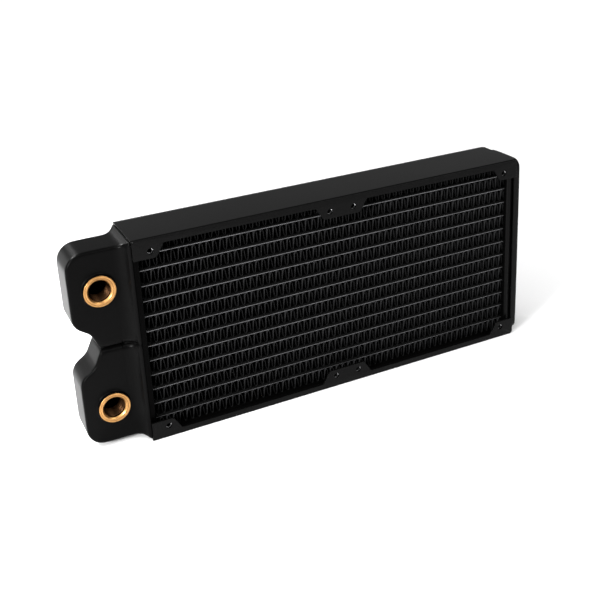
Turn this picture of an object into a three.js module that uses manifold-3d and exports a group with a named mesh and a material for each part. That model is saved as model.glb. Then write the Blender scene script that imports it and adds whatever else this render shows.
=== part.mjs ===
// A liquid cooling radiator for two 120 mm fans: a soldered tube-and-fin core in a folded sheet
// frame, with a two-pod port tank at one end and a shallow return tank at the other.
// Millimetres, +Z up. X runs along the radiator, from the ports (-X) to the return tank (+X), and
// Y runs through its thickness. The origin is the middle of the base of the bounding box.
import * as THREE from 'three';
import { mergeVertices } from 'three/addons/utils/BufferGeometryUtils.js';
import Module from 'manifold-3d';

const wasm = await Module();
wasm.setup();

// ---------------------------------------------------------------- driving dimensions

// Fan mounting: two square hole patterns side by side, repeated on both faces.
const fanHoleSpacing = 105;
const fanPatternGap = 15;
const fanScrewHoleRadius = 1.65;

// Frame, measured over the two side channels.
const frameLength = 244;
const frameHeight = 119;
const thickness = 35;
const sheet = 1.2;
const bendRadius = 1.8;
const flangeWidth = 3.6;
const earDepth = 11.1;
const cornerEarReach = 12.5;
const centreEarReach = 11.7;
const earFlare = 4.6;
const earCornerRadius = 1.5;
const threadCollarRadius = 2.7;
const threadCollarLength = 1.6;

// Core.
const tubeCount = 12;
const tubePitch = 8.9;
const tubeThickness = 2;
const tubeWidth = 22;
const tubeWall = 0.35;
const tubeEndX = 120.6;
const finWaves = 59;
const finLength = 235;
const finSlantHalfHeight = 0.5;
const sideSheetThickness = 1.1;

// Header plates.
const headerFaceX = 118.6;
const headerHalfHeight = 58.1;
const headerHalfWidth = 14.1;
const headerCornerRadius = 2;

// Port tank.
const tankWall = 1.2;
const podReach = 34;
const podHalfHeight = 56.4;
const podHalfWidth = 10.7;
const podEdgeRadius = 3.5;
const podCornerRadius = 10;
const podJoinOverlap = 0.3;
const podRootReach = 2;
const notchMouthHalf = 15.8;
const notchMouthRadius = 6.5;
const notchKnee = { reach: 25.3, halfHeight: 10, radius: 6 };
const notchBottom = { reach: 20.6, radius: 4.2 };
const flareRun = 3.7;
const flareKneeReach = 4;
const flareStart = 9;
const footHalfHeight = 58.7;
const footHalfWidth = 16.6;
const footLip = 0.6;
const dividerThickness = 1;

// Ports.
const portFromFrameEnd = 18;
const portFromCentre = 34.6;
const portBoreRadius = 5.73;
const portMouthRadius = 6.75;
const collarRadius = 8.9;
const collarFlangeRadius = 10.6;
const collarBarrelRadius = 8.2;
const collarProud = 2.6;
const collarFlangeThickness = 1.6;
const collarLength = 9;

// Return tank.
const returnReach = 5;
const returnHalfHeight = 58.7;
const returnHalfWidth = 15.5;
const returnCornerRadius = 6;
const returnEdgeRadius = 4;

// Clearances between separate pieces.
const seam = 0.3;
const fit = 0.05;
const portHoleGap = 0.15;
const flatLeft = 0.01;

// ---------------------------------------------------------------- worked-out dimensions

const halfLength = frameLength / 2;
const halfHeight = frameHeight / 2;
const halfThickness = thickness / 2;
const fanHoleInnerX = fanPatternGap / 2;
const fanHoleOuterX = fanHoleInnerX + fanHoleSpacing;
const fanHoleZ = fanHoleSpacing / 2;
const earTipZ = halfHeight - earDepth;
const flangeInnerZ = halfHeight - flangeWidth;
const webInnerZ = halfHeight - sheet;
const tankSeamX = halfLength + seam;
const portX = halfLength + portFromFrameEnd;
const finHeight = tubePitch - tubeThickness - 2 * fit;
const finCrestZ = (tubeCount * tubePitch + finHeight) / 2;
const sideSheetZ = finCrestZ + 0.15 + sideSheetThickness / 2;

// How many straight steps a rounded corner or a circle has.
const arcSteps = 4;
const smallArcSteps = 3;
const tubeArcSteps = 2;
const screwSteps = 12;
const portSteps = 24;

// ---------------------------------------------------------------- materials

const blackPaint = new THREE.MeshStandardMaterial({ color: 0x1b1a1b, roughness: 0.4, metalness: 0 });
const tubePaint = new THREE.MeshStandardMaterial({ color: 0x3a3b3c, roughness: 0.45, metalness: 0 });
const finPaint = new THREE.MeshStandardMaterial({ color: 0x0c0c0d, roughness: 0.6, metalness: 0 });
const brass = new THREE.MeshStandardMaterial({ color: 0xc9963f, roughness: 0.25, metalness: 1 });

// ---------------------------------------------------------------- geometry helpers

// The points of a corner rounded by a tangent arc, or the corner itself where its radius is 0.
function cornerPoints(last, corner, next, radius, steps) {
  if (radius === 0) return [corner];
  const toLast = last.clone().sub(corner).normalize();
  const toNext = next.clone().sub(corner).normalize();
  const halfAngle = toLast.angleTo(toNext) / 2;
  const reach = radius / Math.tan(halfAngle);
  const bisector = toLast.clone().add(toNext).normalize();
  const centre = corner.clone().addScaledVector(bisector, radius / Math.sin(halfAngle));
  const start = corner.clone().addScaledVector(toLast, reach).sub(centre);
  const turn = (Math.PI - 2 * halfAngle) * -Math.sign(toLast.cross(toNext));
  const origin = new THREE.Vector2();
  return Array.from({ length: steps + 1 }, (_, index) => (
    start.clone().rotateAround(origin, (turn * index) / steps).add(centre)
  ));
}

// Draws a closed outline through [x, y, corner radius] points.
function roundedOutline(corners, steps = arcSteps) {
  const points = corners.map(([x, y]) => new THREE.Vector2(x, y));
  return new THREE.Shape(corners.flatMap(([, , radius = 0], index) => (
    cornerPoints(points.at(index - 1), points[index], points[(index + 1) % points.length], radius, steps)
  )));
}

function rectangle(halfWidth, halfTall, radius = 0, steps = arcSteps) {
  return roundedOutline([
    [-halfWidth, -halfTall, radius],
    [halfWidth, -halfTall, radius],
    [halfWidth, halfTall, radius],
    [-halfWidth, halfTall, radius],
  ], steps);
}

function circle(x, y, radius, steps) {
  return new THREE.Shape(Array.from({ length: steps }, (_, index) => {
    const angle = (2 * Math.PI * index) / steps;
    return new THREE.Vector2(x + radius * Math.cos(angle), y + radius * Math.sin(angle));
  }));
}

function extrude(shape, depth, edge = { bevelEnabled: false }) {
  return new THREE.ExtrudeGeometry(shape, { depth, ...edge });
}

// Each prism takes an outline drawn in the two other axes and runs from one coordinate to another.
function prismAlongX(shape, from, to, edge) {
  const turn = new THREE.Matrix4().makeBasis(
    new THREE.Vector3(0, 1, 0),
    new THREE.Vector3(0, 0, 1),
    new THREE.Vector3(1, 0, 0),
  );
  return extrude(shape, to - from, edge).applyMatrix4(turn).translate(from, 0, 0);
}

function prismAlongY(shape, from, to, edge) {
  return extrude(shape, to - from, edge).rotateX(Math.PI / 2).translate(0, to, 0);
}

function prismAlongZ(shape, from, to) {
  return extrude(shape, to - from).translate(0, 0, from);
}

function roundedEdges(radius) {
  return {
    bevelEnabled: true,
    bevelThickness: radius,
    bevelSize: radius,
    bevelOffset: -radius,
    bevelSegments: 2,
  };
}

function solidFrom(geometry) {
  const bare = geometry.clone();
  bare.deleteAttribute('normal');
  bare.deleteAttribute('uv');
  const welded = mergeVertices(bare, 1e-4);
  return new wasm.Manifold(new wasm.Mesh({
    numProp: 3,
    vertProperties: new Float32Array(welded.attributes.position.array),
    triVerts: new Uint32Array(welded.index.array),
  }));
}

function geometryFrom(solid) {
  const { vertProperties, triVerts } = solid.getMesh();
  const geometry = new THREE.BufferGeometry();
  geometry.setAttribute('position', new THREE.BufferAttribute(vertProperties, 3));
  geometry.setIndex(new THREE.BufferAttribute(triVerts, 1));
  geometry.computeVertexNormals();
  return geometry;
}

function union(geometries) {
  return geometries.map(solidFrom).reduce((whole, part) => whole.add(part));
}

// Everything is placed from the centre of the fan patterns and the middle of the thickness.
const radiator = new THREE.Group();
radiator.position.set((podReach - returnReach) / 2, 0, halfHeight);

function addMesh(name, geometry, material) {
  const mesh = new THREE.Mesh(geometry, material);
  mesh.name = name;
  radiator.add(mesh);
  return mesh;
}

// ---------------------------------------------------------------- side channels

// The folded strip's outline seen from the front: a narrow flange with three ears reaching inwards.
function flangeOutline() {
  const tipX = halfLength - cornerEarReach;
  const rightHalf = [
    [centreEarReach, earTipZ, earCornerRadius],
    [centreEarReach + earFlare, flangeInnerZ, earCornerRadius],
    [tipX - earFlare, flangeInnerZ, earCornerRadius],
    [tipX, earTipZ, earCornerRadius],
    [halfLength, earTipZ, earCornerRadius],
    [halfLength, halfHeight],
  ];
  const leftHalf = rightHalf.map(([x, z, radius]) => [-x, z, radius]).reverse();
  return roundedOutline([...leftHalf, ...rightHalf], smallArcSteps);
}

function sideChannel() {
  const legEndZ = earTipZ - 1;
  const fold = roundedOutline([
    [-halfThickness, halfHeight, bendRadius],
    [-halfThickness, legEndZ],
    [-halfThickness + sheet, legEndZ],
    [-halfThickness + sheet, webInnerZ, bendRadius - sheet],
    [halfThickness - sheet, webInnerZ, bendRadius - sheet],
    [halfThickness - sheet, legEndZ],
    [halfThickness, legEndZ],
    [halfThickness, halfHeight, bendRadius],
  ], smallArcSteps);
  const through = halfThickness + 1;
  const folded = solidFrom(prismAlongX(fold, -halfLength, halfLength));
  const outline = solidFrom(prismAlongY(flangeOutline(), -through, through));
  const outerY = halfThickness - sheet / 2;
  const innerY = halfThickness - sheet - threadCollarLength;
  const holeXs = [-fanHoleOuterX, -fanHoleInnerX, fanHoleInnerX, fanHoleOuterX];
  const atHoles = (radius, from, to) => holeXs.map((x) => (
    prismAlongY(circle(x, fanHoleZ, radius, screwSteps), from, to)
  ));
  return folded
    .intersect(outline)
    .add(union(atHoles(threadCollarRadius, -outerY, -innerY)))
    .add(union(atHoles(threadCollarRadius, innerY, outerY)))
    .subtract(union(atHoles(fanScrewHoleRadius, -through, through)));
}

const channel = sideChannel();
addMesh('side_channel_top', geometryFrom(channel), blackPaint);
addMesh('side_channel_bottom', geometryFrom(channel), blackPaint).rotation.x = Math.PI;

// ---------------------------------------------------------------- core

// One flat tube: a hollow strip with round edges, open at both ends.
function flatTube() {
  const half = tubeThickness / 2;
  const bore = half - tubeWall;
  const section = rectangle(tubeWidth / 2, half, half - flatLeft, tubeArcSteps);
  section.holes.push(rectangle(tubeWidth / 2 - tubeWall, bore, bore - flatLeft, tubeArcSteps));
  return prismAlongX(section, -tubeEndX, tubeEndX);
}

// One fin strip: a thin sheet folded to and fro between two tubes.
function finStrip() {
  const folds = finWaves * 2;
  const crest = finHeight / 2 - finSlantHalfHeight;
  const line = Array.from({ length: folds + 1 }, (_, index) => [
    (index / folds - 0.5) * finLength,
    index % 2 === 0 ? -crest : crest,
  ]);
  const upper = line.map(([x, z]) => new THREE.Vector2(x, z + finSlantHalfHeight));
  const lower = line.map(([x, z]) => new THREE.Vector2(x, z - finSlantHalfHeight));
  const outline = new THREE.Shape([...upper, ...lower.reverse()]);
  return prismAlongY(outline, -tubeWidth / 2, tubeWidth / 2);
}

const tubeZ = (index) => (index - (tubeCount - 1) / 2) * tubePitch;
const finZ = (index) => (index - tubeCount / 2) * tubePitch;
const numbered = (name, index) => `${name}_${String(index + 1).padStart(2, '0')}`;

const tube = flatTube();
for (let index = 0; index < tubeCount; index += 1) {
  addMesh(numbered('flat_tube', index), tube, tubePaint).position.z = tubeZ(index);
}

const fin = finStrip();
for (let index = 0; index <= tubeCount; index += 1) {
  addMesh(numbered('fin_strip', index), fin, finPaint).position.z = finZ(index);
}

const sideSheet = new THREE.BoxGeometry(2 * (headerFaceX - seam), tubeWidth, sideSheetThickness);
addMesh('core_side_sheet_top', sideSheet, blackPaint).position.z = sideSheetZ;
addMesh('core_side_sheet_bottom', sideSheet, blackPaint).position.z = -sideSheetZ;

// ---------------------------------------------------------------- header plates

// A shallow tray: a plate with one slot for each tube, and a rim folded towards the tank.
function headerPlate() {
  const tray = (inset) => (
    rectangle(headerHalfWidth - inset, headerHalfHeight - inset, headerCornerRadius - inset, smallArcSteps)
  );
  const rim = tray(0);
  rim.holes.push(tray(sheet));
  const plate = tray(0);
  const slotWidth = tubeWidth / 2 + fit;
  const slotHalf = tubeThickness / 2 + fit;
  const slotCorner = slotHalf - flatLeft;
  for (let index = 0; index < tubeCount; index += 1) {
    plate.holes.push(roundedOutline([
      [-slotWidth, tubeZ(index) - slotHalf, slotCorner],
      [slotWidth, tubeZ(index) - slotHalf, slotCorner],
      [slotWidth, tubeZ(index) + slotHalf, slotCorner],
      [-slotWidth, tubeZ(index) + slotHalf, slotCorner],
    ], tubeArcSteps));
  }
  return geometryFrom(union([
    prismAlongX(rim, headerFaceX, halfLength),
    prismAlongX(plate, headerFaceX, headerFaceX + sheet),
  ]));
}

const header = headerPlate();
addMesh('header_plate_return_end', header, blackPaint);
addMesh('header_plate_port_end', header, blackPaint).rotation.z = Math.PI;

// ---------------------------------------------------------------- port tank

const kneeX = -(tankSeamX + footLip + flareRun);

// The tank widens towards the frame: a foot edge, a slope, and a hollow curve into the pods.
function flareOutline(bodyHalf, footHalf, startX, endX) {
  const slope = Math.atan2(footHalf - bodyHalf, flareRun);
  const kneeRadius = flareKneeReach * Math.tan((Math.PI - slope) / 2);
  const upperHalf = [
    [endX, footHalf],
    [-(tankSeamX + footLip), footHalf],
    [kneeX, bodyHalf, kneeRadius],
    [startX, bodyHalf],
  ];
  const lowerHalf = upperHalf.map(([x, side, radius]) => [x, -side, radius]).reverse();
  return roundedOutline([...upperHalf, ...lowerHalf]);
}

function flareSolid(wall, startX, endX) {
  const sideOutline = flareOutline(podHalfWidth - wall, footHalfWidth - wall, startX, endX);
  const frontOutline = flareOutline(podHalfHeight - wall, footHalfHeight - wall, startX, endX);
  return solidFrom(prismAlongZ(sideOutline, -halfHeight, halfHeight))
    .intersect(solidFrom(prismAlongY(frontOutline, -halfThickness, halfThickness)));
}

// The upper pod, or the space inside it when it is drawn smaller by the wall.
function podSolid(wall) {
  const rootX = -(halfLength + podRootReach);
  const outline = roundedOutline([
    [rootX, -podJoinOverlap],
    [rootX, podHalfHeight],
    [-(halfLength + podReach), podHalfHeight, podCornerRadius],
    [-(halfLength + podReach), notchMouthHalf, notchMouthRadius],
    [-(halfLength + notchKnee.reach), notchKnee.halfHeight, notchKnee.radius],
    [-(halfLength + notchBottom.reach), -podJoinOverlap, notchBottom.radius],
  ]);
  const edge = roundedEdges(podEdgeRadius - wall);
  const flat = podHalfWidth - podEdgeRadius;
  return solidFrom(prismAlongY(outline, -flat, flat, { ...edge, bevelOffset: -podEdgeRadius }));
}

function bothPods(wall) {
  const upper = podSolid(wall);
  return upper.add(upper.mirror([0, 0, 1]));
}

function portTank() {
  const reach = 1;
  const outside = bothPods(0).add(flareSolid(0, -(halfLength + flareStart), -tankSeamX));
  const cavityStartX = -(halfLength + flareStart - 1);
  const inside = bothPods(tankWall).add(flareSolid(tankWall, cavityStartX, -tankSeamX + reach));
  const portHole = (z) => (
    prismAlongY(circle(-portX, z, collarRadius + portHoleGap, portSteps), -halfThickness, 0)
  );
  return outside.subtract(inside).subtract(union([portHole(portFromCentre), portHole(-portFromCentre)]));
}

addMesh('port_tank_shell', geometryFrom(portTank()), blackPaint);

// The divider closes the port tank between its two halves, so the coolant returns through the core.
function tankDivider() {
  const rimInside = headerHalfWidth - sheet - seam;
  const podInside = podHalfWidth - tankWall - seam;
  const upperHalf = [
    [-(headerFaceX + sheet + seam), rimInside],
    [-tankSeamX, rimInside],
    [-(tankSeamX + footLip), footHalfWidth - tankWall - 2 * seam],
    [kneeX, podInside],
    [-(halfLength + flareStart - 1 - seam), podInside],
  ];
  const lowerHalf = upperHalf.map(([x, side]) => [x, -side]).reverse();
  const outline = roundedOutline([...upperHalf, ...lowerHalf]);
  return prismAlongZ(outline, -dividerThickness / 2, dividerThickness / 2);
}

addMesh('tank_divider', tankDivider(), blackPaint);

// ---------------------------------------------------------------- port collars

// A brass bush with its flange behind the tank wall and its threaded bore open to the tank.
function portCollar() {
  const front = -collarProud;
  const flangeFront = tankWall + fit;
  const flangeBack = flangeFront + collarFlangeThickness;
  const chamfer = portMouthRadius - portBoreRadius;
  const profile = [
    [portMouthRadius, front],
    [collarRadius, front],
    [collarRadius, flangeFront],
    [collarFlangeRadius, flangeFront],
    [collarFlangeRadius, flangeBack],
    [collarBarrelRadius, flangeBack],
    [collarBarrelRadius, collarLength],
    [portBoreRadius, collarLength],
    [portBoreRadius, front + chamfer],
    [portMouthRadius, front],
  ];
  return new THREE.LatheGeometry(profile.map(([r, y]) => new THREE.Vector2(r, y)), portSteps);
}

const collar = geometryFrom(solidFrom(portCollar()));
addMesh('port_collar_upper', collar, brass).position.set(-portX, -podHalfWidth, portFromCentre);
addMesh('port_collar_lower', collar, brass).position.set(-portX, -podHalfWidth, -portFromCentre);

// ---------------------------------------------------------------- return tank

function returnTank() {
  const endX = halfLength + returnReach;
  const block = (wall) => {
    const radius = returnEdgeRadius - wall;
    const section = rectangle(returnHalfWidth - wall, returnHalfHeight - wall, returnCornerRadius - wall);
    return solidFrom(prismAlongX(section, halfLength, endX - wall - radius, roundedEdges(radius)));
  };
  const cutter = new THREE.BoxGeometry(2 * returnReach, thickness, frameHeight);
  cutter.translate(tankSeamX - returnReach, 0, 0);
  return block(0).subtract(block(tankWall)).subtract(solidFrom(cutter));
}

addMesh('return_tank_shell', geometryFrom(returnTank()), blackPaint);

export default radiator;
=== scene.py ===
"""The looks of a liquid cooling radiator for two 120 mm fans, built around its CAD frame.

+Z is up. X runs from the port tank to the return tank, and the face with the ports looks
towards -Y. Pieces are drawn in millimetres from the middle of the folded frame, and new_piece
scales them to metres and puts them where the CAD model has them.
"""
import math

import bmesh
import bpy
from mathutils import Euler, Matrix, Vector


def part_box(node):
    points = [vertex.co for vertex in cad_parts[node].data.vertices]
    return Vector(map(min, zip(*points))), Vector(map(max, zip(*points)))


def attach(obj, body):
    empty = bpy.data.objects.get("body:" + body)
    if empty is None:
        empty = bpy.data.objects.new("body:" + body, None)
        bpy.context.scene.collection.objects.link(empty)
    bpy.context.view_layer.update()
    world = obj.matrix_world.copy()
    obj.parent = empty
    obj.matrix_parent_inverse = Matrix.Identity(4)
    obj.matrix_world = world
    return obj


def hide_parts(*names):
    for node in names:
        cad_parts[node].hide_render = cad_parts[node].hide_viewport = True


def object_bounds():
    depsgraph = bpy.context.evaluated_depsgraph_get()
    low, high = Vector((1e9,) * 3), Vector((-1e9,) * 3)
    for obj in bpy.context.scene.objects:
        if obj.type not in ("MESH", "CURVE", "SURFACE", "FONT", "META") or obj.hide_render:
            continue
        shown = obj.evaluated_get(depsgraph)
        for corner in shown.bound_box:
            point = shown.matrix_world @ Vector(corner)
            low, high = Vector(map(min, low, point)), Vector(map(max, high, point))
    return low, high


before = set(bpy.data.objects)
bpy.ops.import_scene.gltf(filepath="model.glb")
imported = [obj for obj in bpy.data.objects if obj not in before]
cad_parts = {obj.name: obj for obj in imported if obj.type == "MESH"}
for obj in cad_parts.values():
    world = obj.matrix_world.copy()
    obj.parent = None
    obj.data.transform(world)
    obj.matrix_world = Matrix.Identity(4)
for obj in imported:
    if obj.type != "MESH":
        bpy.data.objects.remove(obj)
cad_low, cad_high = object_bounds()

MM = 0.001

# ------------------------------------------------------------------ sizes read from the frame

channel_low, channel_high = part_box("side_channel_top")
tank_low, tank_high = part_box("port_tank_shell")
return_low, return_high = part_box("return_tank_shell")
header_low, header_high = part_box("header_plate_return_end")
tube_low, tube_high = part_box("flat_tube_01")
next_tube_low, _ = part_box("flat_tube_02")
fin_low, fin_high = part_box("fin_strip_01")
collar_low, collar_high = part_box("port_collar_upper")

FRAME_MIDDLE = Vector(((channel_low.x + channel_high.x) / 2, 0, (cad_low.z + cad_high.z) / 2))
TO_FRAME = Matrix.Translation(FRAME_MIDDLE) @ Matrix.Scale(MM, 4)


def millimetres(point):
    """A point of the frame in millimetres from the middle of the folded frame."""
    return (point - FRAME_MIDDLE) / MM


HALF_LENGTH = millimetres(channel_high).x
HALF_HEIGHT = millimetres(channel_high).z
HALF_DEPTH = channel_high.y / MM
EAR_TIP = millimetres(channel_low).z
POD_END = millimetres(tank_low).x
FOOT_END = millimetres(tank_high).x
FOOT_HALF_DEPTH = tank_high.y / MM
FOOT_HALF_HEIGHT = millimetres(tank_high).z
RETURN_START = millimetres(return_low).x
RETURN_END = millimetres(return_high).x
RETURN_HALF_DEPTH = return_high.y / MM
RETURN_HALF_HEIGHT = millimetres(return_high).z
HEADER_FACE = millimetres(header_low).x
HEADER_HALF_DEPTH = header_high.y / MM
HEADER_HALF_HEIGHT = millimetres(header_high).z
TUBE_END = millimetres(tube_high).x
TUBE_HALF_DEPTH = tube_high.y / MM
TUBE_THICKNESS = (tube_high.z - tube_low.z) / MM
TUBE_PITCH = (next_tube_low.z - tube_low.z) / MM
FIN_HALF_LENGTH = millimetres(fin_high).x
FIN_HEIGHT = (fin_high.z - fin_low.z) / MM
PORT = millimetres((collar_low + collar_high) / 2)
COLLAR_FRONT = collar_low.y / MM

# ------------------------------------------------------------------ driving sizes, millimetres

SHEET = 1.2
FOLD_RADIUS = 1.8
FLANGE_WIDTH = 3.6
CORNER_EAR_REACH = 12.5
CENTRE_EAR_REACH = 11.7
EAR_FLARE = 4.6
EAR_CORNER = 1.5
SCREW_HOLE_X = (7.5, 112.5)
SCREW_HOLE_Z = 52.5
SCREW_HOLE_RADIUS = 1.65
SCREW_PITCH = 0.79
SCREW_THREAD_DEPTH = 0.24
SCREW_THREAD_START = 0.95
SLEEVE_RADIUS = 2.7
SLEEVE_LENGTH = 1.6

TUBE_COUNT = 12
FIN_COUNT = TUBE_COUNT + 1
FIN_WAVES = 59
FIN_GAUGE = 0.16
TUBE_WALL = 0.35
SLOT_PLAY = 0.05

POD_HALF_HEIGHT = 56.4
POD_HALF_DEPTH = 10.7
POD_EDGE = 1.5
POD_CORNER = 10
GROOVE_DEPTH = 4.2
GROOVE_SHOULDER = 3.2
FLARE_START = -131
FLARE_KNEE = -126.6
FLARE_HOLLOW = 7.2
FLARE_LIP = 0.6

BUSH_RADIUS = 8.7
BOSS_RADIUS = 8.95
BOSS_FOOT_RADIUS = 9.8
BORE_RADIUS = 6.58
MOUTH_RADIUS = 6.8
THREAD_CREST_RADIUS = 5.73
THREAD_PITCH = 1.337

PAN_EDGE = 1.8
PAN_CORNER = 6

# ------------------------------------------------------------------ mesh helpers


def new_piece(name, shape, finish, stands_for=()):
    """Makes a piece of a bmesh drawn in millimetres, and rides it on the radiator."""
    shape.transform(TO_FRAME)
    mesh = bpy.data.meshes.new(name)
    shape.to_mesh(mesh)
    shape.free()
    mesh.materials.append(finish)
    mesh.shade_smooth()
    piece = bpy.data.objects.new(name, mesh)
    bpy.context.scene.collection.objects.link(piece)
    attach(piece, "root")
    if stands_for:
        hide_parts(*stands_for)
    return piece


def modify(piece, kind, **settings):
    modifier = piece.modifiers.new(kind.lower(), kind)
    for key, value in settings.items():
        setattr(modifier, key, value)


def subdivide(piece, levels):
    modify(piece, "SUBSURF", levels=levels, render_levels=levels)


def thicken(piece, gauge, offset=-1):
    modify(piece, "SOLIDIFY", thickness=gauge * MM, offset=offset)


def round_edges(piece, radius, segments, degrees):
    modify(piece, "BEVEL", width=radius * MM, segments=segments, limit_method="ANGLE",
           angle_limit=math.radians(degrees), use_clamp_overlap=False)


def flatten_shading(piece):
    modify(piece, "WEIGHTED_NORMAL", mode="FACE_AREA", weight=50)


def rounded(corners, steps=5):
    """The points of a closed outline through (u, v, radius) corners, rounded by tangent arcs."""
    points = []
    for index, (u, v, radius) in enumerate(corners):
        corner = Vector((u, v))
        if not radius:
            points.append(corner)
            continue
        back = (Vector(corners[index - 1][:2]) - corner).normalized()
        ahead = (Vector(corners[(index + 1) % len(corners)][:2]) - corner).normalized()
        half = back.angle(ahead) / 2
        centre = corner + (back + ahead).normalized() * (radius / math.sin(half))
        arm = corner + back * (radius / math.tan(half)) - centre
        turn = (2 * half - math.pi) * math.copysign(1, back.cross(ahead))
        points += [centre + Matrix.Rotation(turn * k / steps, 2) @ arm for k in range(steps + 1)]
    return points


def rectangle(half_width, half_height, radius, steps=5):
    return rounded([
        (-half_width, -half_height, radius), (half_width, -half_height, radius),
        (half_width, half_height, radius), (-half_width, half_height, radius),
    ], steps)


def circle(u, v, radius, steps=32):
    turns = [2 * math.pi * k / steps for k in range(steps)]
    return [Vector((u + radius * math.cos(a), v + radius * math.sin(a))) for a in turns]


def spaced(points, gap):
    """The same open path with points added, so that none of its steps is longer than the gap."""
    path = [points[0]]
    for start, end in zip(points, points[1:]):
        count = max(1, math.ceil((end - start).length / gap))
        path += [start.lerp(end, k / count) for k in range(1, count + 1)]
    return path


def skin(shape, rows, closed=False):
    """Adds a quad between each pair of neighbours in each pair of rows of points."""
    grid = [[shape.verts.new(point) for point in row] for row in rows]
    for upper, lower in zip(grid, grid[1:]):
        for k in range(len(upper) - (0 if closed else 1)):
            after = (k + 1) % len(upper)
            shape.faces.new((upper[k], upper[after], lower[after], lower[k]))


def fill(shape, loops):
    """Fills the flat area inside the first loop of points and outside the others."""
    edges = []
    for loop in loops:
        points = [shape.verts.new(point) for point in loop]
        edges += [shape.edges.new(pair) for pair in zip(points, points[1:] + points[:1])]
    bmesh.ops.triangle_fill(shape, edges=edges, use_beauty=True)


def weld(shape, distance=0.002):
    bmesh.ops.remove_doubles(shape, verts=shape.verts, dist=distance)
    bmesh.ops.recalc_face_normals(shape, faces=shape.faces)
    return shape


def copies(shape, places):
    """One bmesh with a copy of the shape at each of the places."""
    base = bpy.data.meshes.new("base")
    shape.to_mesh(base)
    shape.free()
    whole = bmesh.new()
    for place in places:
        part = base.copy()
        part.transform(place)
        whole.from_mesh(part)
        bpy.data.meshes.remove(part)
    bpy.data.meshes.remove(base)
    bmesh.ops.recalc_face_normals(whole, faces=whole.faces)
    return whole


def turned(profile, steps, pitch=0.0, turns=1):
    """A closed profile of (radius, height) points swung round Z, or wound into a thread."""
    count = len(profile)
    mesh = bpy.data.meshes.new("profile")
    edges = [(k, (k + 1) % count) for k in range(count)]
    mesh.from_pydata([(radius, 0, height) for radius, height in profile], edges, [])
    helper = bpy.data.objects.new("profile", mesh)
    bpy.context.scene.collection.objects.link(helper)
    modify(helper, "SCREW", steps=steps, render_steps=steps, screw_offset=-pitch, iterations=turns,
           use_merge_vertices=True, merge_threshold=MM)
    shape = bmesh.new()
    shape.from_mesh(helper.evaluated_get(bpy.context.evaluated_depsgraph_get()).to_mesh())
    bpy.data.objects.remove(helper)
    bmesh.ops.holes_fill(shape, edges=shape.edges)
    bmesh.ops.recalc_face_normals(shape, faces=shape.faces)
    return shape


def wound_ridge(root, crest, flat, pitch, steps, turns):
    """One ridge of a thread, from its root up to a flat crest, wound down a bore."""
    ridge = [(root, pitch / 2), (crest, flat), (crest, -flat), (root, -pitch / 2)]
    return turned(ridge, steps, pitch, turns)


def facing_out(x, y, z, back=False):
    """The place of a turned shape whose +Z end looks out of the front, or of the back."""
    turn = Matrix.Rotation(math.radians(-90 if back else 90), 4, "X")
    return Matrix.Translation((x, y, z)) @ turn


# ------------------------------------------------------------------ finishes


class Value:
    """A shader socket. Sums, differences, products and quotients add their Math nodes."""

    def __init__(self, finish, socket):
        self.finish = finish
        self.socket = socket

    def math(self, operation, *terms):
        inputs = dict(enumerate(terms))
        return self.finish.node("ShaderNodeMath", {"operation": operation}, inputs)

    def __add__(self, other):
        return self.math("ADD", self, other)

    def __sub__(self, other):
        return self.math("SUBTRACT", self, other)

    def __rsub__(self, other):
        return self.math("SUBTRACT", other, self)

    def __mul__(self, other):
        return self.math("MULTIPLY", self, other)

    def __truediv__(self, other):
        return self.math("DIVIDE", self, other)

    def __pow__(self, other):
        return self.math("POWER", self, other)

    def __abs__(self):
        return self.math("ABSOLUTE", self)

    __radd__ = __add__
    __rmul__ = __mul__


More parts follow.
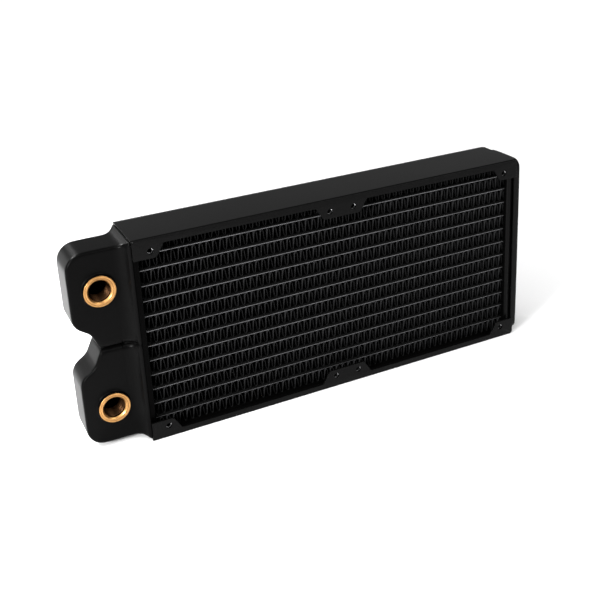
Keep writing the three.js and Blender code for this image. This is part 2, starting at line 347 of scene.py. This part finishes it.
class Finish:
    """A Principled material. Its varying inputs are given as Values or node outputs."""

    def __init__(self, name, **constants):
        self.material = bpy.data.materials.new(name)
        self.material.use_nodes = True
        self.nodes = self.material.node_tree.nodes
        self.links = self.material.node_tree.links
        self.shader = self.nodes["Principled BSDF"]
        for key, value in constants.items():
            self.shader.inputs[key.replace("_", " ")].default_value = value

    def node(self, kind, settings, inputs, output=0):
        """Adds a node, sets it up, feeds its inputs, and gives one of its outputs back."""
        node = self.nodes.new(kind)
        for key, value in settings.items():
            setattr(node, key, value)
        for key, value in inputs.items():
            self.feed(node.inputs[key], value)
        return Value(self, node.outputs[output])

    def feed(self, socket, value):
        if isinstance(value, Value):
            self.links.new(value.socket, socket)
        else:
            socket.default_value = value

    def paint(self, **varying):
        for key, value in varying.items():
            self.feed(self.shader.inputs[key.replace("_", " ")], value)
        return self.material

    def place(self):
        return self.node("ShaderNodeTexCoord", {}, {}, "Object")

    def shifted(self, centre=(0, 0, 0), stretch=(1, 1, 1)):
        """The Object coordinates measured from a centre and stretched along each axis."""
        moved = self.node("ShaderNodeVectorMath", {"operation": "SUBTRACT"},
                          {0: self.place(), 1: centre})
        return self.node("ShaderNodeVectorMath", {"operation": "MULTIPLY"}, {0: moved, 1: stretch})

    def noise(self, grain_mm, detail=2.0, roughness=0.5, vector=None):
        """Noise whose blotches are about grain_mm across."""
        return self.node("ShaderNodeTexNoise", {}, {
            "Vector": vector or self.place(), "Scale": 1 / (grain_mm * MM),
            "Detail": detail, "Roughness": roughness,
        })

    def axis(self, name, vector=None):
        """One component of the Object coordinates, in metres."""
        return self.node("ShaderNodeSeparateXYZ", {}, {"Vector": vector or self.place()}, name)

    def between(self, value, low, high):
        """A mask that rises smoothly from 0 at low to 1 at high."""
        settings = {"interpolation_type": "SMOOTHSTEP"}
        inputs = {"Value": value, "From Min": low, "From Max": high}
        return self.node("ShaderNodeMapRange", settings, inputs)

    def height_in_row(self, middle):
        """The height of a point, wrapped into the one row of the core that has this middle."""
        half = TUBE_PITCH / 2 * MM
        return self.node("ShaderNodeMath", {"operation": "WRAP"},
                         {0: self.axis("Z"), 1: middle + half, 2: middle - half})

    def mix(self, amount, first, second):
        """One colour turning into another."""
        settings = {"data_type": "RGBA"}
        inputs = {"Factor": amount, 6: (*first, 1), 7: second if isinstance(second, Value) else (*second, 1)}
        return self.node("ShaderNodeMix", settings, inputs, 2)

    def bump(self, height, depth_mm, strength=1.0, under=None):
        inputs = {"Height": height, "Distance": depth_mm * MM, "Strength": strength}
        if under:
            inputs["Normal"] = under
        return self.node("ShaderNodeBump", {}, inputs)


def satin_black(name, shine, shade, grain=1.0):
    """Black powder coat: a faint orange peel, a fine grain, and a soft roll next to the folds."""
    coat = Finish(name, Specular_IOR_Level=shine)
    cloud = coat.noise(26, 3)
    peel = coat.noise(2.6, 2)
    fine = coat.noise(0.34, 3, 0.7)
    away_from_fold = coat.between(abs(coat.axis("Y")), (HALF_DEPTH - 0.5) * MM, (HALF_DEPTH - 2.5) * MM)
    rolled = coat.bump(away_from_fold, 0.6)
    peeled = coat.bump(peel, 0.05, 0.22, rolled)
    return coat.paint(
        Base_Color=coat.mix(cloud, [0.8 * shade] * 3, [1.25 * shade, 1.18 * shade, 1.2 * shade]),
        Roughness=0.25 + cloud * 0.05 + fine * (0.06 * grain),
        Normal=coat.bump(fine, 0.02, 0.30 * grain, peeled),
    )


def thin_paint_and_highlight_on_tube():
    """A thin black coat that lets the edge's metal show in streaks, kept low on the edge as a painted
    highlight.
    """
    coat = Finish("thin_paint_and_highlight_on_tube", Specular_IOR_Level=0.03)
    streak = coat.noise(1.6, 3, 0.6, coat.shifted(stretch=(0.35, 1, 1)))
    bead = coat.noise(2.1, 2)
    middle = FRAME_MIDDLE.z + TUBE_PITCH / 2 * MM
    # The grey stays on the lower half of each front edge: partly worn paint, partly a painted highlight line.
    under = coat.between(middle - coat.height_in_row(middle), 0.05 * MM, 0.3 * MM)
    edge = coat.between(abs(coat.axis("Y")), (TUBE_HALF_DEPTH - 0.6) * MM, (TUBE_HALF_DEPTH - 0.3) * MM)
    crest = edge * under
    worn_and_highlight = crest * (0.3 + streak)
    return coat.paint(
        Base_Color=coat.mix(worn_and_highlight, (0.002, 0.002, 0.002), (0.16, 0.16, 0.165)),
        Metallic=0.3 * crest,
        Roughness=0.42 + 0.2 * bead,
        Normal=coat.bump(bead, 0.12, 0.5),
    )


def fin_paint():
    """Matt black sprayed on the fins, thinner on their cut edges, with painted light and shade in its grey.
    """
    coat = Finish("fin_paint", Specular_IOR_Level=0.05)
    blotch = coat.noise(3.5, 2)
    fine = coat.noise(0.8, 2)
    # Lighter near the front and back edges: partly thinner paint on the cut edges, partly painted shade
    # deeper in the core.
    margin = coat.between(abs(coat.axis("Y")), (TUBE_HALF_DEPTH - 2.6) * MM, (TUBE_HALF_DEPTH - 1.2) * MM)
    level = coat.height_in_row(FRAME_MIDDLE.z)
    # Lighter towards the top of each row of fins, darker towards its bottom.
    raised = coat.between(level - FRAME_MIDDLE.z, -3.6 * MM, 2.6 * MM)
    # Painted light: the sides of the fins that face up are painted lighter, as if lit from above.
    painted_light_from_above = coat.between(coat.axis("Z", coat.node("ShaderNodeTexCoord", {}, {}, "Normal")), -0.3, 0.3)
    thin_paint_and_painted_light = margin * (0.4 + 0.8 * blotch) * (0.12 + raised) * (0.35 + painted_light_from_above)
    return coat.paint(
        Base_Color=coat.mix(thin_paint_and_painted_light, (0.0015, 0.0015, 0.0016), (0.014, 0.014, 0.0145)),
        Roughness=0.45 + 0.25 * fine,
        Normal=coat.bump(fine, 0.05, 0.4),
    )


def turned_brass(name, centre):
    """Machined brass with fine tool rings about its axis, a faint cloudy tarnish, and painted shade down the
    bore.
    """
    metal = Finish(name, Metallic=1.0)
    place = metal.shifted(centre)
    across = metal.axis("X", place)
    up = metal.axis("Z", place)
    radius = (across * across + up * up) ** 0.5
    rings = metal.node("ShaderNodeTexNoise", {"noise_dimensions": "1D"},
                       {"W": radius / MM, "Scale": 5.5, "Detail": 3})
    tarnish = metal.noise(3.2, 3)
    # Painted shade: from about a millimetre behind the front face the brass is painted dark brown down the
    # bore.
    inside = metal.between(metal.axis("Y"), (COLLAR_FRONT + 0.9) * MM, (COLLAR_FRONT + 1.5) * MM)
    face = metal.mix(tarnish, (0.50, 0.27, 0.10), (0.34, 0.17, 0.055))
    return metal.paint(
        Base_Color=metal.node("ShaderNodeMix", {"data_type": "RGBA"},
                              {"Factor": inside, 6: face, 7: (0.05, 0.024, 0.011, 1)}, 2),
        Roughness=0.20 + 0.16 * tarnish + 0.1 * rings,
        Normal=metal.bump(rings, 0.03, 0.5),
    )


def bare_steel():
    """Freshly cut thread in the frame's steel, painted dark deeper down the hole as painted shade."""
    metal = Finish("bare_cut_thread", Metallic=0.8)
    smear = metal.noise(0.5, 2)
    # Painted shade: the steel is near black from about 1.5 mm behind the face; only near the mouth does it
    # keep its bright colour.
    mouth = metal.between(abs(metal.axis("Y")), (HALF_DEPTH - 1.5) * MM, (HALF_DEPTH - 0.9) * MM)
    return metal.paint(
        Base_Color=metal.mix(mouth * (0.8 + 0.4 * smear), (0.02, 0.02, 0.02), (0.90, 0.90, 0.92)),
        Roughness=0.2 + 0.2 * smear,
        Normal=metal.bump(smear, 0.02, 0.4),
    )


def pale_floor():
    sweep = Finish("pale_floor", Specular_IOR_Level=0.1)
    mottle = sweep.noise(400, 2)
    return sweep.paint(
        Base_Color=sweep.mix(mottle, (0.90, 0.90, 0.90), (0.93, 0.93, 0.93)),
        Roughness=0.85 + 0.1 * mottle,
    )


TANK_BLACK = satin_black("satin_black_coat", 0.04, 0.0012)
FRAME_BLACK = satin_black("grainy_black_coat", 0.09, 0.0012, 1.7)
# Painted shade: a darker, duller copy of the black coat for parts that sit in shade, the screw sleeves and
# the port-end tray.
SHADED_BLACK = satin_black("shaded_black_coat", 0.02, 0.0008)
TUBE_COAT = thin_paint_and_highlight_on_tube()
FIN_COAT = fin_paint()
THREAD_STEEL = bare_steel()

# ------------------------------------------------------------------ folded side channels


def flange_outline():
    """The front of a channel: a narrow flange with three ears, up to the fold."""
    inner = HALF_HEIGHT - FLANGE_WIDTH
    tip = HALF_LENGTH - CORNER_EAR_REACH
    right = [
        (CENTRE_EAR_REACH, EAR_TIP, EAR_CORNER),
        (CENTRE_EAR_REACH + EAR_FLARE, inner, EAR_CORNER),
        (tip - EAR_FLARE, inner, EAR_CORNER),
        (tip, EAR_TIP, EAR_CORNER),
        (HALF_LENGTH, EAR_TIP, 0.4),
        (HALF_LENGTH, HALF_HEIGHT - SHEET / 2, 0),
    ]
    left = [(-x, z, radius) for x, z, radius in reversed(right)]
    return rounded(left + right)


def screw_hole_places():
    return [side * x for side in (-1, 1) for x in SCREW_HOLE_X]


def side_channel(side):
    """One folded channel as a single sheet: two flanges with ears and holes, and the web."""
    shape = bmesh.new()
    depth = HALF_DEPTH - SHEET / 2
    fold = HALF_HEIGHT - SHEET / 2
    loops = [flange_outline()]
    loops += [circle(x, SCREW_HOLE_Z, SCREW_HOLE_RADIUS) for x in screw_hole_places()]
    for face in (-depth, depth):
        fill(shape, [[(x, face, side * z) for x, z in loop] for loop in loops])
    skin(shape, [[(-HALF_LENGTH, y, side * fold), (HALF_LENGTH, y, side * fold)] for y in (-depth, depth)])
    return weld(shape)


def at_screw_holes(shape, side, lift):
    """A copy of a shape in each of a channel's eight screw holes."""
    return copies(shape, [
        facing_out(x, face * HALF_DEPTH, side * SCREW_HOLE_Z, face > 0) @ Matrix.Translation((0, 0, lift))
        for x in screw_hole_places() for face in (-1, 1)
    ])


def screw_thread():
    """The cut thread of a screw hole, as one ridge wound down it."""
    root = SCREW_HOLE_RADIUS - 0.02
    return wound_ridge(root, root - SCREW_THREAD_DEPTH, 0.06, SCREW_PITCH, 28, 2)


def screw_sleeve():
    """The short neck drawn out of the sheet round a screw hole."""
    wall = SCREW_HOLE_RADIUS - 0.02
    length = SHEET + SLEEVE_LENGTH
    return turned([
        (SLEEVE_RADIUS, -SHEET), (wall, -0.35), (wall, -length),
        (SLEEVE_RADIUS - 0.2, -length), (SLEEVE_RADIUS, 0.2 - length),
    ], 32)


for side, end in ((1, "top"), (-1, "bottom")):
    channel = new_piece("side_frame_" + end, side_channel(side), FRAME_BLACK,
                        ["side_channel_" + end])
    round_edges(channel, FOLD_RADIUS - SHEET / 2, 6, 60)
    thicken(channel, SHEET, 0)
    round_edges(channel, 0.14, 2, 50)
    flatten_shading(channel)
    # The sleeves wear the darker copy of the black coat, as painted shade inside the screw holes.
    new_piece("screw_sleeves_" + end, at_screw_holes(screw_sleeve(), side, 0), SHADED_BLACK)
    new_piece("screw_threads_" + end, at_screw_holes(screw_thread(), side, -SCREW_THREAD_START), THREAD_STEEL)

# ------------------------------------------------------------------ core


def flat_tube(middle):
    corners = ((-1, -1), (1, -1), (1, 1), (-1, 1))
    section = [(y * TUBE_HALF_DEPTH, z * TUBE_THICKNESS / 2) for y, z in corners]
    shape = bmesh.new()
    skin(shape, [[(x, y, middle + z) for y, z in section] for x in (-TUBE_END, TUBE_END)], closed=True)
    return weld(shape)


def fin_wave(middle):
    """One wave of a folded fin, bent to and fro through its depth as its louvres are."""
    pitch = 2 * FIN_HALF_LENGTH / FIN_WAVES
    crest = FIN_HEIGHT / 2 - FIN_GAUGE / 2
    shoulder = [(-0.78, -1.1), (-0.5, -0.25), (0, 0), (0.5, -0.25), (0.78, -1.1)]
    start = -FIN_HALF_LENGTH + pitch / 4
    line = [(start + u, -(crest + v)) for u, v in shoulder]
    line += [(start + pitch / 2 + u, crest + v) for u, v in shoulder]
    line += [(start + pitch - 0.78, 1.1 - crest)]
    depths = [-TUBE_HALF_DEPTH, -8.8, -5.2, -1.7, 1.7, 5.2, 8.8, TUBE_HALF_DEPTH]
    sway = [0, 0, 0.25, -0.25, 0.25, -0.25, 0, 0]
    shape = bmesh.new()
    skin(shape, [[(x + lean, y, middle + z) for x, z in line] for y, lean in zip(depths, sway)])
    return weld(shape)


waver = bpy.data.textures.new("fin_waver", "CLOUDS")
waver.noise_scale = 4.2 * MM
waver.noise_depth = 1

for index in range(TUBE_COUNT):
    number = f"{index + 1:02d}"
    tube = new_piece("tube_" + number, flat_tube((index - (TUBE_COUNT - 1) / 2) * TUBE_PITCH), TUBE_COAT,
                     ["flat_tube_" + number])
    round_edges(tube, 0.97, 6, 60)
    thicken(tube, TUBE_WALL)
    flatten_shading(tube)

for index in range(FIN_COUNT):
    number = f"{index + 1:02d}"
    fins = new_piece("fins_" + number, fin_wave((index - (FIN_COUNT - 1) / 2) * TUBE_PITCH), FIN_COAT,
                     ["fin_strip_" + number])
    modify(fins, "ARRAY", count=FIN_WAVES, use_relative_offset=False, use_constant_offset=True,
           constant_offset_displace=(2 * FIN_HALF_LENGTH / FIN_WAVES * MM, 0, 0),
           use_merge_vertices=True, merge_threshold=0.01 * MM)
    modify(fins, "DISPLACE", texture=waver, texture_coords="LOCAL", direction="X", strength=0.9 * MM,
           mid_level=0.5)
    thicken(fins, FIN_GAUGE, 0)

# ------------------------------------------------------------------ header trays


def header_tray(end):
    """A plate with a slot for each tube, and a rim folded towards its tank."""
    shape = bmesh.new()
    face = HEADER_FACE
    rim = rectangle(HEADER_HALF_DEPTH - SHEET / 2, HEADER_HALF_HEIGHT - SHEET / 2, 1.6, 4)
    loops = [rim]
    for index in range(TUBE_COUNT):
        slot = rectangle(TUBE_HALF_DEPTH + SLOT_PLAY, TUBE_THICKNESS / 2 + SLOT_PLAY, 0.8, 3)
        middle = (index - (TUBE_COUNT - 1) / 2) * TUBE_PITCH
        loops.append([Vector((y, z + middle)) for y, z in slot])
    fill(shape, [[(end * face, y, z) for y, z in loop] for loop in loops])
    skin(shape, [[(end * x, y, z) for y, z in rim] for x in (face, HALF_LENGTH)], closed=True)
    return weld(shape)


# The port-end tray wears the darker copy of the black coat, as painted shade.
for end, name, finish in ((-1, "port", SHADED_BLACK), (1, "return", FRAME_BLACK)):
    tray = new_piece(f"header_tray_{name}_end", header_tray(end), finish,
                     [f"header_plate_{name}_end"])
    round_edges(tray, 0.9, 4, 60)
    thicken(tray, SHEET, 0)
    flatten_shading(tray)

# ------------------------------------------------------------------ port tank


def pod_outline():
    """The upper pod's outline from the flare along its top, down its end and into the notch."""
    corners = [
        (FLARE_START, POD_HALF_HEIGHT, 0),
        (POD_END, POD_HALF_HEIGHT, POD_CORNER),
        (POD_END, 15.8, 9),
        (POD_END + 8.7, 10, 9),
        (POD_END + 13.4, 0, 2.6),
        (FLARE_START, 0, 0),
    ]
    path = rounded(corners, 6)
    above = [point for point in path if point.y > 0.8]
    return spaced(above + [Vector((POD_END + 14.4, 0))], 7.5)


def inward_normals(path):
    """The direction into the pod at each point of its outline."""
    normals = []
    for index in range(len(path)):
        ahead = path[min(index + 1, len(path) - 1)] - path[max(index - 1, 0)]
        normals.append(Vector((-ahead.y, ahead.x)).normalized())
    return normals


def flare_heights(top):
    """Heights up the flare's front, with a close step at either end to keep it flat."""
    low = GROOVE_SHOULDER + 0.9
    high = top - 0.9
    return [GROOVE_SHOULDER] + [low + (high - low) * k / 6 for k in range(7)] + [top]


def quarter_tank(front):
    """The upper half of the tank's front, with its port hole, or of its back, without it."""
    face = POD_HALF_DEPTH
    shape = bmesh.new()
    path = pod_outline()
    normals = inward_normals(path)
    normals[0] = Vector((0, -1))
    normals[-1] = Vector((0.3, 0.95))

    # The rounded edge and the wall, from the face down to the middle of the depth.
    inset = [point + normal * POD_EDGE for point, normal in zip(path, normals)]
    bend = max(index for index, point in enumerate(path) if point.y > 7)
    turn = Vector((POD_END + 17.2, GROOVE_SHOULDER))
    for index in range(bend, len(path)):
        inset[index] = inset[bend].lerp(turn, (index - bend) / (len(path) - 1 - bend))
    shoulder = [point.lerp(inner, 0.2) for point, inner in zip(path, inset)]
    last = len(path) - 1
    sink = [POD_EDGE if index < last else GROOVE_DEPTH for index in range(len(path))]
    skin(shape, [
        [(x, -face, z) for x, z in inset],
        [(x, -face + POD_EDGE * 0.2, z) for x, z in shoulder],
        [(x, -face + deep, z) for (x, z), deep in zip(path, sink)],
        [(x, -face + deep + 0.9, z) for (x, z), deep in zip(path, sink)],
        [(x, 0, z) for x, z in path],
    ])

    # The groove between the pods, from the notch to the flare.
    share = [k / 3 for k in range(4)]
    groove_inset = [inset[-1].lerp(Vector((FLARE_START, GROOVE_SHOULDER)), k) for k in share]
    groove_shoulder = [shoulder[-1].lerp(Vector((FLARE_START, 0.7)), k) for k in share]
    groove_floor = [path[-1].lerp(Vector((FLARE_START, 0)), k) for k in share]
    skin(shape, [
        [(x, -face, z) for x, z in groove_inset],
        [(x, -face + POD_EDGE * 0.2, z) for x, z in groove_shoulder],
        [(x, -face + GROOVE_DEPTH, z) for x, z in groove_floor],
    ])

    # The flat face, in rings about the port.
    heights = flare_heights(POD_HALF_HEIGHT - POD_EDGE)
    rim = inset + groove_inset[1:] + [Vector((FLARE_START, z)) for z in heights[1:-1]]
    centre = Vector((PORT.x, PORT.z))
    hole = BUSH_RADIUS + 0.1 if front else 5
    rings = [[], [], [], []]
    for point in rim:
        reach = (point - centre).length
        room = reach - hole
        near = hole + min(3.6, 0.3 * room)
        border = reach - min(0.9, 0.3 * room)
        for ring, radius in zip(rings, (hole, near, (near + reach) / 2, border)):
            x, z = centre + (point - centre) * (radius / reach)
            ring.append((x, -face, z))
    rings.append([(x, -face, z) for x, z in rim])
    skin(shape, rings, closed=True)
    if not front:
        shape.faces.new([shape.verts.new(point) for point in rings[0]])

    # The flare towards the frame: a hollow curve, a slope and a rounded foot.
    widening = FOOT_HALF_DEPTH - face
    profile = rounded([
        (FLARE_START, 0, 0), (FLARE_KNEE, 0, FLARE_HOLLOW),
        (FOOT_END - FLARE_LIP, widening, 0.9), (FOOT_END, widening, 0),
    ], 4)
    rows = []
    for x, rise in profile:
        share = rise / widening
        out = face + rise
        top = POD_HALF_HEIGHT + (FOOT_HALF_HEIGHT - POD_HALF_HEIGHT) * share
        edge = POD_EDGE + (2.2 - POD_EDGE) * share
        deep = GROOVE_DEPTH * (1 - 0.7 * share)
        row = [(x, -out + deep, 0), (x, -out + deep / 6, 0.7)]
        row += [(x, -out, z) for z in flare_heights(top - edge)]
        row += [(x, -out + edge * 0.2, top - edge * 0.2), (x, -out + edge, top)]
        row += [(x, -out + edge + 0.9, top), (x, 0, top)]
        rows.append(row)
    skin(shape, rows)
    return shape


def port_tank():
    whole = bmesh.new()
    for front in (True, False):
        quarter = quarter_tank(front)
        depth = 1 if front else -1
        places = [Matrix.Diagonal((1, depth, height, 1)) for height in (1, -1)]
        mesh = bpy.data.meshes.new("half")
        half = copies(quarter, places)
        half.to_mesh(mesh)
        half.free()
        whole.from_mesh(mesh)
        bpy.data.meshes.remove(mesh)
    return weld(whole, 0.01)


tank = new_piece("port_tank", port_tank(), TANK_BLACK, ["port_tank_shell"])
subdivide(tank, 2)
thicken(tank, SHEET)

# ------------------------------------------------------------------ ports


def port_bush():
    """A brass bush: a flat ring with a chamfered mouth, and the bore behind it."""
    proud = -POD_HALF_DEPTH - COLLAR_FRONT
    return turned(rounded([
        (MOUTH_RADIUS, proud, 0.1), (7.4, proud, 0), (7.55, proud - 0.14, 0.05), (7.7, proud, 0),
        (BUSH_RADIUS, proud, 0.35), (BUSH_RADIUS, -0.2, 0),
        (BUSH_RADIUS + 1.6, -SHEET - 0.1, 0), (BUSH_RADIUS + 1.6, -SHEET - 1.6, 0), (8.2, -SHEET - 1.8, 0),
        (8.2, -9, 0), (BORE_RADIUS, -9, 0), (BORE_RADIUS, proud - 1.2, 0), (5.85, proud - 0.9, 0.06),
    ], 3), 96)


def port_boss():
    """The painted collar round a bush, with a small fillet down to the tank."""
    proud = -POD_HALF_DEPTH - COLLAR_FRONT - 0.12
    return turned(rounded([
        (BUSH_RADIUS + 0.03, proud, 0), (BOSS_RADIUS, proud, 0.12), (BOSS_RADIUS, 0.06, 0.7),
        (BOSS_FOOT_RADIUS, 0.06, 0.15), (BOSS_FOOT_RADIUS + 0.2, -0.4, 0), (BUSH_RADIUS + 0.03, -0.4, 0),
    ], 6), 96)


def port_thread():
    """The pipe thread in a bush, as one ridge wound down the bore."""
    return wound_ridge(BORE_RADIUS + 0.02, THREAD_CREST_RADIUS, 0.1, THREAD_PITCH, 72, 7)


for height, name in ((PORT.z, "upper"), (-PORT.z, "lower")):
    middle = facing_out(PORT.x, -POD_HALF_DEPTH, height)
    axis = FRAME_MIDDLE + Vector((PORT.x, 0, height)) * MM
    brass = turned_brass("turned_brass_" + name, axis)
    start = middle @ Matrix.Translation((0, 0, -POD_HALF_DEPTH - COLLAR_FRONT - 1.9))
    new_piece("port_bush_" + name, copies(port_bush(), [middle]), brass,
              ["port_collar_" + name])
    new_piece("port_thread_" + name, copies(port_thread(), [start]), brass)
    new_piece("port_boss_" + name, copies(port_boss(), [middle]), TANK_BLACK)

# ------------------------------------------------------------------ return tank


def return_tank():
    """A shallow pan: a straight wall, a rounded edge and a nearly flat end."""
    shape = bmesh.new()
    rings = [
        (RETURN_START, 0), (RETURN_START + 0.5, 0), (RETURN_END - PAN_EDGE, 0),
        (RETURN_END - PAN_EDGE * 0.2, PAN_EDGE * 0.2), (RETURN_END, PAN_EDGE), (RETURN_END, PAN_EDGE + 3),
    ]
    rows = []
    for x, inset in rings:
        radius = max(PAN_CORNER - inset, 1.2)
        ring = rectangle(RETURN_HALF_DEPTH - inset, RETURN_HALF_HEIGHT - inset, radius, 4)
        rows.append([(x, y, z) for y, z in ring])
    skin(shape, rows, closed=True)
    shape.faces.new([shape.verts.new(point) for point in rows[-1]])
    return weld(shape, 0.005)


pan = new_piece("return_tank", return_tank(), FRAME_BLACK, ["return_tank_shell"])
subdivide(pan, 2)
thicken(pan, SHEET)

# ------------------------------------------------------------------ pieces kept from the CAD model

for name in ("core_side_sheet_top", "core_side_sheet_bottom", "tank_divider"):
    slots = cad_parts[name].material_slots
    slots[0].material = TANK_BLACK

# ------------------------------------------------------------------ floor, light and camera


def add_floor():
    mesh = bpy.data.meshes.new("floor")
    reach = 6
    corners = [(-reach, -reach, 0), (reach, -reach, 0), (reach, reach, 0), (-reach, reach, 0)]
    mesh.from_pydata(corners, [], [(0, 1, 2, 3)])
    mesh.materials.append(pale_floor())
    floor = bpy.data.objects.new("floor", mesh)
    bpy.context.scene.collection.objects.link(floor)


def add_lamp(name, kind, place, target, watts, **settings):
    """A lamp aimed from a place at a target, hidden from the camera."""
    light = bpy.data.lights.new(name, kind)
    light.energy = watts
    for key, value in settings.items():
        setattr(light, key, value)
    lamp = bpy.data.objects.new(name, light)
    lamp.location = place
    lamp.rotation_euler = (Vector(target) - Vector(place)).to_track_quat("-Z", "Y").to_euler()
    lamp.visible_camera = False
    bpy.context.scene.collection.objects.link(lamp)


def add_room():
    """A plain studio: pale near the horizon, dark above that, and dim overhead."""
    world = bpy.data.worlds.new("studio")
    world.use_nodes = True
    nodes = world.node_tree.nodes
    links = world.node_tree.links
    place = nodes.new("ShaderNodeTexCoord")
    split = nodes.new("ShaderNodeSeparateXYZ")
    ramp = nodes.new("ShaderNodeValToRGB")
    levels = ((0.0, 0.45), (0.15, 0.42), (0.3, 0.38), (0.46, 0.36), (0.56, 0.04), (0.8, 0.25), (1.0, 0.3))
    while len(ramp.color_ramp.elements) < len(levels):
        ramp.color_ramp.elements.new(0.5)
    for element, (position, level) in zip(ramp.color_ramp.elements, levels):
        element.position = position
        element.color = (level, level, level, 1)
    links.new(place.outputs["Generated"], split.inputs[0])
    links.new(split.outputs["Z"], ramp.inputs[0])
    links.new(ramp.outputs[0], nodes["Background"].inputs["Color"])
    bpy.context.scene.world = world


def add_camera():
    data = bpy.data.cameras.new("camera")
    data.lens = 56.7
    data.sensor_width = 36
    data.shift_y = -0.18
    data.clip_start = 0.05
    data.clip_end = 50
    camera = bpy.data.objects.new("camera", data)
    camera.location = (-0.2198, -0.4661, 0.3026)
    camera.rotation_euler = Euler([math.radians(a) for a in (70.31, 2.65, -26.15)])
    bpy.context.scene.collection.objects.link(camera)
    bpy.context.scene.camera = camera


add_floor()
add_room()
add_camera()
centre = (cad_low + cad_high) / 2
add_lamp("left_box", "AREA", (-0.56, -0.34, 0.27), (-0.1, 0, 0.06), 4.5, size=0.11)
add_lamp("overhead_left", "SUN", (-0.5, -0.3, 0.81), (0, 0, 0), 2.4, angle=math.radians(60))
add_lamp("overhead_right", "SUN", (0.45, -0.6, 0.66), (0, 0, 0), 1.3, angle=math.radians(30))
add_lamp("floor_behind", "SPOT", (-0.5, 0.6, 0.7), (-0.185, 0.1, 0), 68, spot_size=math.radians(30),
         spot_blend=0.6, shadow_soft_size=0.1)
add_lamp("back_left", "AREA", (-0.6, 0.87, 0.2), (-0.14, 0, 0.05), 0.5, size=0.3)
add_lamp("rim", "AREA", (-0.3, 0.85, 0.65), centre, 1.5, size=0.25)
bpy.context.scene.view_settings.view_transform = "Standard"
